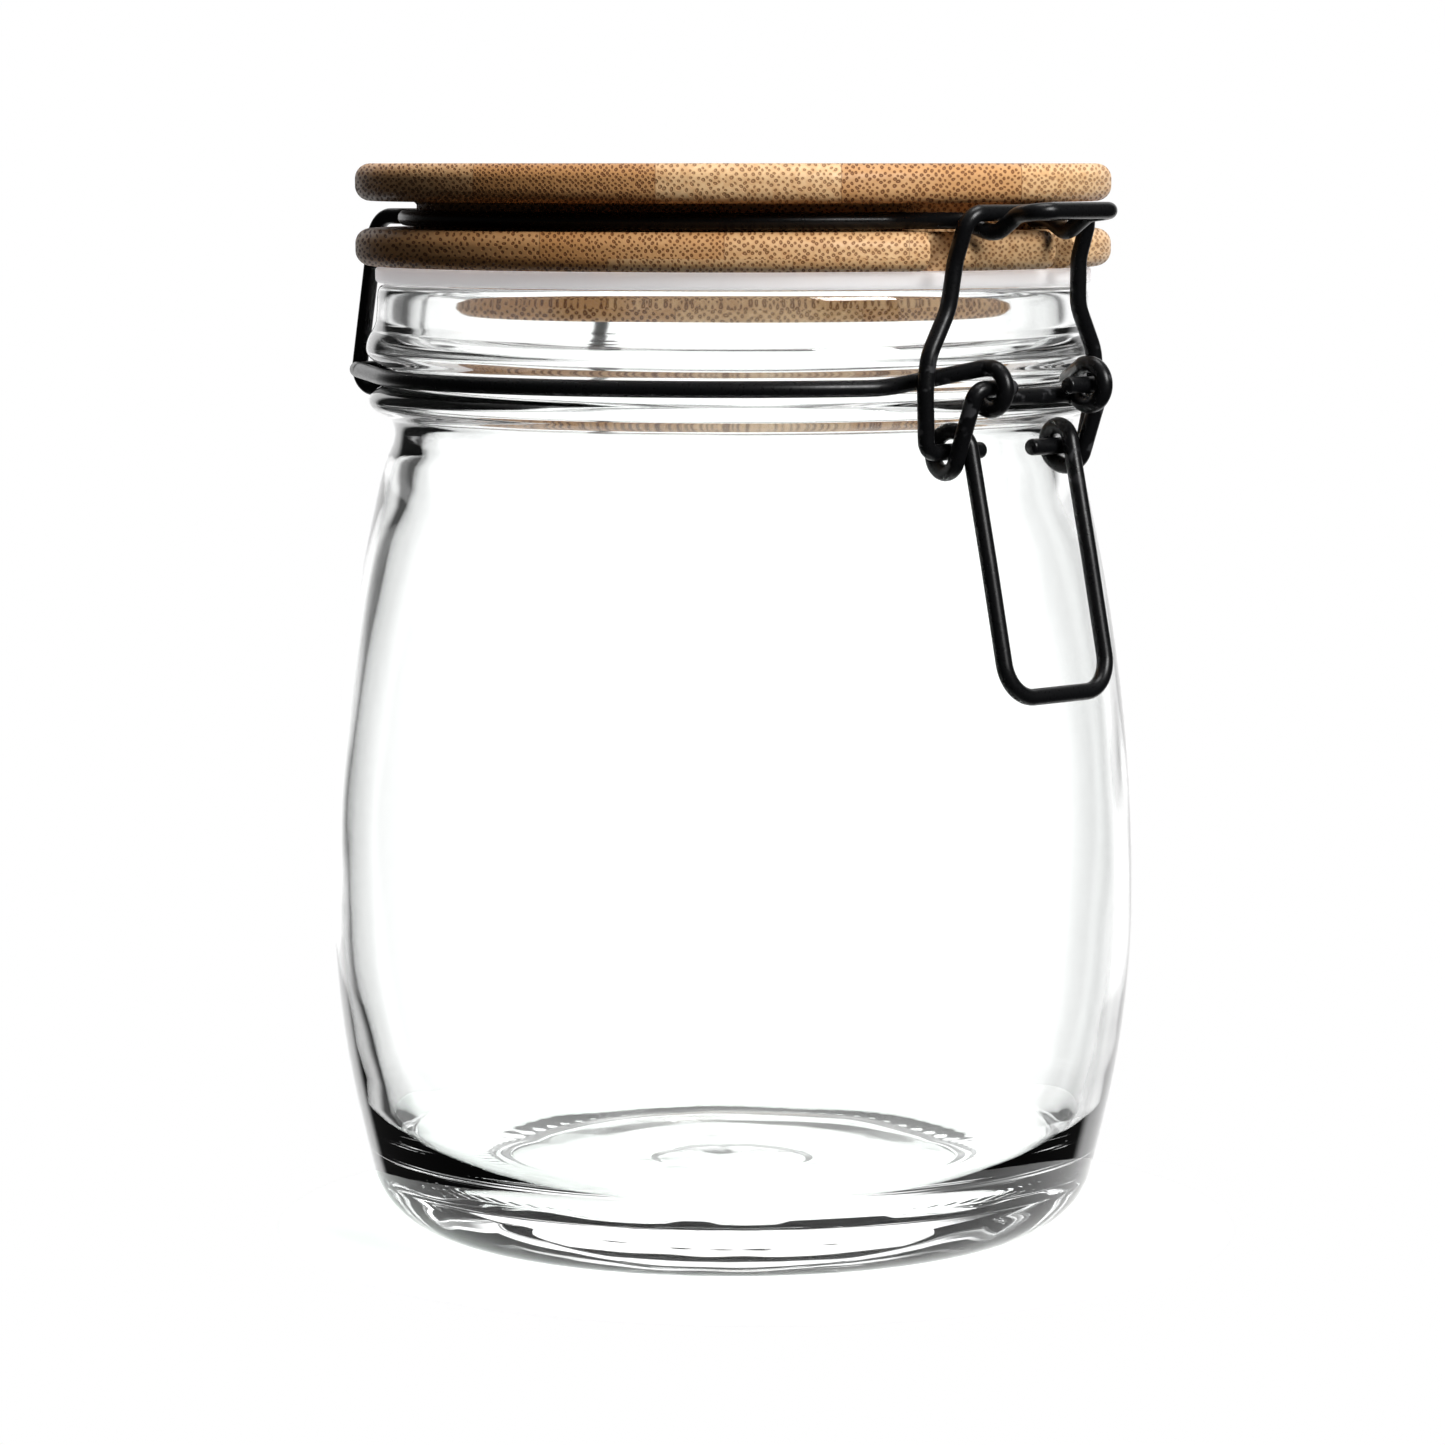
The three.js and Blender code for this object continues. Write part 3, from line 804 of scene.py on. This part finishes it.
def neck_wire_path():
    """From the bridge through the latch eye, round the neck's groove, to the hinge bar; then mirrored."""
    bridge_back, bridge_drop = 2.9, 1.3
    leaves = math.degrees(math.asin(17 / RING_ON_NECK))
    corner = math.hypot(BAR_HALF, BACK_BAR[0])
    reach = math.atan2(BAR_HALF, -BACK_BAR[0]) + math.acos(RING_ON_NECK / corner)
    round_neck = ring(RING_ON_NECK, GROOVE_Z, leaves, 180 - math.degrees(reach))
    eye = coil(EYE, -158, 90, EYE_S, EYE_S)
    bridge_rho, bridge_z = EYE[0] - bridge_back, GROOVE_Z - bridge_drop
    into_eye = eye[4]
    bridge = bent([(at(0, bridge_rho, bridge_z), 0), (at(EYE_S, bridge_rho, bridge_z), 1.2), (into_eye, 0)])
    over = bent([(eye[-2], 0), (at(EYE_S, EYE[0] - 0.9, EYE[1] + COIL), 1.6), (round_neck[0], 0)])
    away = bent([(over[-2], 0), (round_neck[0], 9), (round_neck[3], 0)])
    bar = bent([(round_neck[-1], 0), (at(BAR_HALF, *BACK_BAR), 1.5), (at(0.15, *BACK_BAR), 0)])
    half = [*bridge[:-1], *eye[4:-2], *over[:-1], *away[1:-1], *round_neck[3:-1], *bar]
    return both_sides(half)


def lid_wire_path():
    """From the nose's middle round the lid's groove, down the hinge leg, to its eye; then mirrored."""
    leg_rho = -47
    leaves = math.degrees(math.asin(13 / RING_IN_LID))
    reaches = 180 - math.degrees(math.asin(LEG_S / RING_IN_LID))
    round_lid = ring(RING_IN_LID, RING_IN_LID_Z, leaves, reaches)
    start = tangent((leg_rho, RING_IN_LID_Z), BACK_BAR, 1)
    hinge_eye = coil(BACK_BAR, start, start + 285, LEG_S, LEG_S - 0.6)
    nose = bent([
        (at(0, NOSE_REACH, 135.7), 0),
        (at(7.3, NOSE_REACH, 135.7), 2.2),
        (at(6.6, 56.6, 135.2), 3),
        (at(6.6, 53, 132.7), 2.5),
        (at(8.4, 48.6, RING_IN_LID_Z), 2.5),
        (round_lid[0], 7),
        (round_lid[4], 0),
    ])
    leg = bent([
        (round_lid[-5], 0),
        (round_lid[-1], 3.5),
        (at(LEG_S, leg_rho, RING_IN_LID_Z), 3.4),
        (hinge_eye[0], 0),
    ])
    return both_sides([*nose[:-1], *round_lid[4:-5], *leg[:-1], *hinge_eye])


def lever_path():
    """From the handle's end, once round the bail's foot, to the end in the neck wire's eye; then mirrored."""
    knee = (54.7, 91.8)
    end = (58.3, 75)
    start = tangent(knee, COILS, 1)
    stop = tangent(EYE, COILS, -1) + 360
    turn = coil(COILS, start, stop, HANDLE_S, ARM_S)
    handle = bent([
        (at(0, *end), 0),
        (at(HANDLE_S, *end), 4.5),
        (at(HANDLE_S, *knee), 20),
        (turn[0], 0),
    ])
    stub = bent([(turn[-1], 0), (at(ARM_S, *EYE), 1.5), (at(5, *EYE), 0)])
    return both_sides([*handle[:-1], *turn[:-1], *stub])


def bail_path():
    """From the top bar's middle down the waisted side to the foot in the lever's coil; then mirrored."""
    top = (52.8, 135.4)
    return both_sides(bent([
        (at(0, *top), 0),
        (at(11.4, *top), 2.4),
        (at(11.6, 50.7, 129.5), 6),
        (at(12.2, 50.1, 123.5), 6),
        (at(15.6, 49.9, 117.6), 6),
        (at(16, 49.8, 113.5), 6),
        (at(14.8, *COILS), 1.8),
        (at(4.5, *COILS), 0),
    ]))


WIRES = {
    "neck_wire": ("jar", "neck_band_wire", neck_wire_path),
    "lid_wire": ("lid", "lid_band_wire", lid_wire_path),
    "latch_lever": ("lever", "lever_wire", lever_path),
    "latch_bail": ("bail", "bail_wire", bail_path),
}


def make_wire(node, settings):
    """One of the four wires."""
    body, name, path = WIRES[node]
    finish = bpy.data.materials.get("black_powder_coat") or powder_coat(settings)
    piece = wire(name, path(), settings, finish)
    return fit(piece, node, body, finish)


# ---- the stage -----------------------------------------------------------------------------------


def heading(azimuth):
    """The level direction in which a camera at this azimuth looks."""
    return Vector((-math.sin(azimuth), math.cos(azimuth), 0))


def light_the_world(settings):
    """A white studio: a bright wall behind the jar, dim flags at both sides, and a soft ceiling.

    Seen through the glass there is a bright wall every quarter turn, so that the jar is clear from
    the other sides too. The camera itself sees plain white.
    """
    wall_turn, wall_glow, flag_glow = 5, 1.22, 0.03
    side_turns, side_glow, haze = (95, 185, 275), 1.0, 0.07
    ceiling_glow = 0.35
    world = bpy.data.worlds.new("studio")
    bpy.context.scene.world = world
    world.use_nodes = True
    nodes = Nodes(world.node_tree)
    shown = world.node_tree.nodes["Background"]
    shown.inputs["Color"].default_value = (1, 1, 1, 1)
    shown.inputs["Strength"].default_value = 1.0
    direction = nodes.add("ShaderNodeTexCoord").outputs["Generated"]
    up = nodes.add("ShaderNodeSeparateXYZ", {0: direction}).outputs[2]
    level = nodes.math("SQRT", nodes.math("SUBTRACT", 1.0001, nodes.math("MULTIPLY", up, up)))

    def facing(turn):
        """How squarely a direction faces the wall at this many degrees to the right of the jar."""
        ahead = heading(settings.azimuth - math.radians(turn))
        depth = nodes.add(
            "ShaderNodeVectorMath", {0: direction, 1: tuple(ahead)}, operation="DOT_PRODUCT"
        ).outputs["Value"]
        return nodes.math("DIVIDE", depth, level)

    behind = nodes.ramp(facing(wall_turn), 0.8, 0.88, flag_glow, wall_glow)
    around = nodes.math("ADD", behind, haze)
    for turn in side_turns:
        around = nodes.math("ADD", around, nodes.ramp(facing(turn), 0.81, 0.89, 0.0, side_glow))
    ceiling = nodes.ramp(up, 0.55, 0.8)
    path = nodes.add("ShaderNodeLightPath")
    walls = nodes.mix(path.outputs["Is Transmission Ray"], behind, around)
    strength = nodes.mix(ceiling, walls, ceiling_glow)
    lit = nodes.add("ShaderNodeBackground", {"Color": (1, 1, 1, 1), "Strength": strength})
    both = nodes.add("ShaderNodeMixShader", {0: path.outputs["Is Camera Ray"], 1: lit, 2: shown})
    nodes.set(world.node_tree.nodes["World Output"].inputs["Surface"], both)


# name, turn, lift, distance, size and power
SOFTBOXES = (
    ("key_softbox", 42, 30, 1.2, 0.5, 20),
    ("top_softbox", 120, 82, 1.2, 0.6, 8),
)


def softbox(name, settings, turn, lift, distance, size, power):
    """A square lamp that faces the jar.

    turn is in degrees to the right of the camera, and lift is in degrees over it. distance and size
    are in metres, and power is in watts.
    """
    towards = -heading(settings.azimuth + math.radians(turn))
    middle = Vector((0, AXIS_Y, 0.09))
    place = middle + distance * (
        towards * math.cos(math.radians(lift)) + Vector((0, 0, math.sin(math.radians(lift))))
    )
    lamp = bpy.data.lights.new(name, "AREA")
    lamp.shape = "SQUARE"
    lamp.size = size
    lamp.energy = power
    holder = bpy.data.objects.new(name, lamp)
    holder.location = place
    holder.rotation_euler = (middle - place).to_track_quat("-Z", "Y").to_euler()
    bpy.context.scene.collection.objects.link(holder)


def make_floor():
    """A small round table top, a little wider than the jar."""
    radius, rings, columns, drop = 0.064, 8, 96, 0.0001
    mesh = bmesh.new()
    rows = []
    for i in range(1, rings + 1):
        r = radius * (i / rings) ** 2
        row = []
        for k in range(columns):
            angle = 2 * math.pi * k / columns
            row.append(mesh.verts.new((r * math.cos(angle), r * math.sin(angle), 0)))
        rows.append(row)
    middle = mesh.verts.new((0, 0, 0))
    for k in range(columns):
        j = (k + 1) % columns
        mesh.faces.new((middle, rows[0][k], rows[0][j]))
        for inner, outer in zip(rows, rows[1:]):
            mesh.faces.new((inner[k], outer[k], outer[j], inner[j]))
    table_top = finished("table_top", mesh)
    table_top.location.z = -drop
    table_top.data.materials.append(pale_floor())


def make_camera(settings):
    """The camera, level with the lid and aimed a little below the canister's middle."""
    ahead = heading(settings.azimuth)
    left = Vector((-ahead.y, ahead.x, 0))
    aim_height, aim_left = 0.067, 0.0014
    place = Vector((0, AXIS_Y, settings.height)) - ahead * settings.distance
    target = Vector((0, AXIS_Y, aim_height)) + left * aim_left
    data = bpy.data.cameras.new("camera")
    data.lens = settings.lens
    data.sensor_width = 36
    data.clip_start = 0.01
    camera = bpy.data.objects.new("camera", data)
    camera.location = place
    camera.rotation_euler = (target - place).to_track_quat("-Z", "Y").to_euler()
    bpy.context.scene.collection.objects.link(camera)
    bpy.context.scene.camera = camera


# ---- operators, panel and registration -----------------------------------------------------------


class CANISTER_OT_stage(bpy.types.Operator):
    """Sets up the floor, the studio light and the camera"""

    bl_idname = "canister.stage"
    bl_label = "Stage"

    def execute(self, context):
        settings = context.scene.canister_stage
        make_camera(settings)
        light_the_world(settings)
        make_floor()
        for name, *place in SOFTBOXES:
            softbox(name, settings, *place)
        context.scene.view_settings.view_transform = "Standard"
        return {"FINISHED"}


class CANISTER_OT_glass_jar(bpy.types.Operator):
    """Blows the glass jar"""

    bl_idname = "canister.glass_jar"
    bl_label = "Glass jar"

    def execute(self, context):
        make_jar(context.scene.canister_glass)
        return {"FINISHED"}


class CANISTER_OT_bamboo_lid(bpy.types.Operator):
    """Turns the bamboo lid and cuts its notches"""

    bl_idname = "canister.bamboo_lid"
    bl_label = "Bamboo lid"

    def execute(self, context):
        make_lid(context.scene.canister_lid)
        return {"FINISHED"}


class CANISTER_OT_seal(bpy.types.Operator):
    """Moulds the silicone seal"""

    bl_idname = "canister.seal"
    bl_label = "Seal"

    def execute(self, _context):
        make_seal()
        return {"FINISHED"}


class CANISTER_OT_wires(bpy.types.Operator):
    """Bends the four wire pieces"""

    bl_idname = "canister.wires"
    bl_label = "Wires"

    def execute(self, context):
        for node in WIRES:
            make_wire(node, context.scene.canister_wire)
        return {"FINISHED"}


class CANISTER_PT_panel(bpy.types.Panel):
    """Lists the pieces and their settings"""

    bl_idname = "CANISTER_PT_panel"
    bl_label = "Canister"
    bl_space_type = "VIEW_3D"
    bl_region_type = "UI"
    bl_category = "Canister"

    def draw(self, context):
        for group, operators in PANEL_ROWS:
            box = self.layout.box()
            settings = getattr(context.scene, group)
            for name in settings.__annotations__:
                box.prop(settings, name)
            for operator in operators:
                box.operator(operator)


PANEL_ROWS = (
    ("canister_stage", ("canister.stage",)),
    ("canister_glass", ("canister.glass_jar",)),
    ("canister_lid", ("canister.bamboo_lid", "canister.seal")),
    ("canister_wire", ("canister.wires",)),
)

GROUPS = {
    "canister_glass": GlassSettings,
    "canister_lid": LidSettings,
    "canister_wire": WireSettings,
    "canister_stage": StageSettings,
}

CLASSES = (
    *GROUPS.values(),
    CANISTER_OT_stage,
    CANISTER_OT_glass_jar,
    CANISTER_OT_bamboo_lid,
    CANISTER_OT_seal,
    CANISTER_OT_wires,
    CANISTER_PT_panel,
)


def register():
    """Registers the classes and hangs each group of settings on the scene."""
    for cls in CLASSES:
        bpy.utils.register_class(cls)
    for name, group in GROUPS.items():
        setattr(bpy.types.Scene, name, bpy.props.PointerProperty(type=group))


def unregister():
    """Takes back what register set up."""
    for name in GROUPS:
        delattr(bpy.types.Scene, name)
    for cls in reversed(CLASSES):
        bpy.utils.unregister_class(cls)


def main():
    """Builds the stage and every piece."""
    register()
    bpy.ops.canister.stage()
    bpy.ops.canister.glass_jar()
    bpy.ops.canister.bamboo_lid()
    bpy.ops.canister.seal()
    bpy.ops.canister.wires()


if __name__ == "__main__":
    main()
